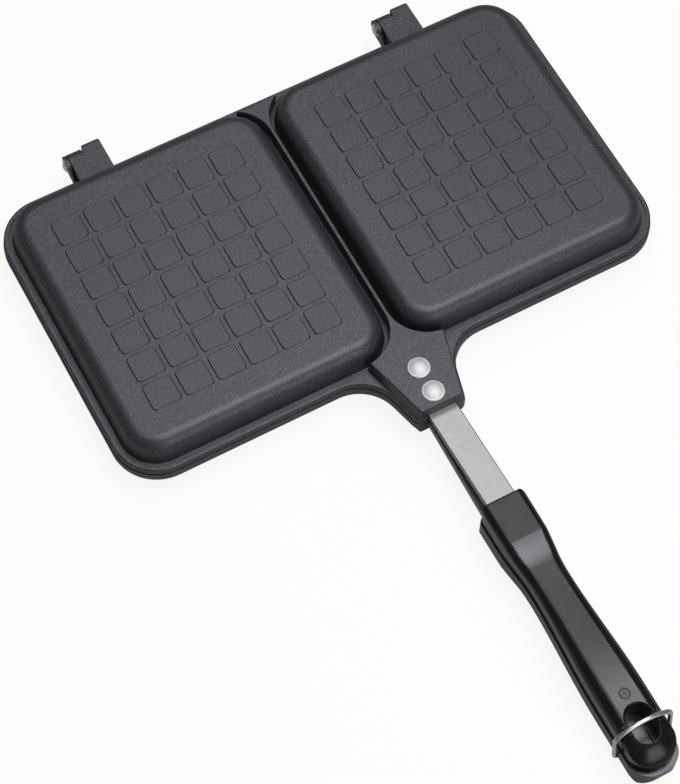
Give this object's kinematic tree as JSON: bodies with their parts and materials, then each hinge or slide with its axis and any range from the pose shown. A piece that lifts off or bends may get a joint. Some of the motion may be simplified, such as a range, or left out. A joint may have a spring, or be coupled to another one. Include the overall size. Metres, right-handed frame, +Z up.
{
  "type": "double campfire sandwich press",
  "caption": "Hinged cast press with domed square bread chambers side by side, split handle on riveted straps and a swinging wire bail that locks the handle halves.",
  "frame": {"origin": "centre of the bounding box on the plane the lower domes stand on", "axes": "+X across both chambers, +Y from the handle end to the hinges, +Z up through the closed press"},
  "size_m": [0.2796, 0.3938, 0.034],
  "materials": {
    "coated_cast": "dark non-stick coating, satin, finely speckled",
    "pin_steel": "bright, domed heads",
    "strap_steel": "bright rolled strip",
    "rivet_steel": "polished heads",
    "handle_plastic": "black heat-resistant moulding, low sheen",
    "screw_steel": "zinc plated",
    "insert_brass": "turned",
    "wire_steel": "drawn wire, plated"
  },
  "bodies": {
    "lower": {"lower_plate": "coated_cast", "hinge_pin_left": "pin_steel", "hinge_pin_right": "pin_steel", "lower_tang": "strap_steel", "lower_handle": "handle_plastic", "lower_rivet_front": "rivet_steel", "lower_rivet_rear": "rivet_steel", "lower_handle_screw_front": "screw_steel", "lower_handle_screw_rear": "screw_steel", "lower_handle_insert_front": "insert_brass", "lower_handle_insert_rear": "insert_brass"},
    "upper": {"upper_plate": "coated_cast", "upper_tang": "strap_steel", "upper_handle": "handle_plastic", "upper_rivet_front": "rivet_steel", "upper_rivet_rear": "rivet_steel", "upper_handle_screw_front": "screw_steel", "upper_handle_screw_rear": "screw_steel", "upper_handle_insert_front": "insert_brass", "upper_handle_insert_rear": "insert_brass"},
    "bail": {"lock_bail": "wire_steel"}
  },
  "joints": [
    {"name": "lid_hinge", "type": "hinge", "parent": "lower", "child": "upper", "pos_m": [0, 0.1915, 0.02], "axis": [-1, 0, 0], "range_deg": [0, 105]},
    {"name": "bail_swing", "type": "hinge", "parent": "lower", "child": "bail", "pos_m": [0, -0.1797, 0.0115], "axis": [1, 0, 0], "range_deg": [0, 130]}
  ]
}
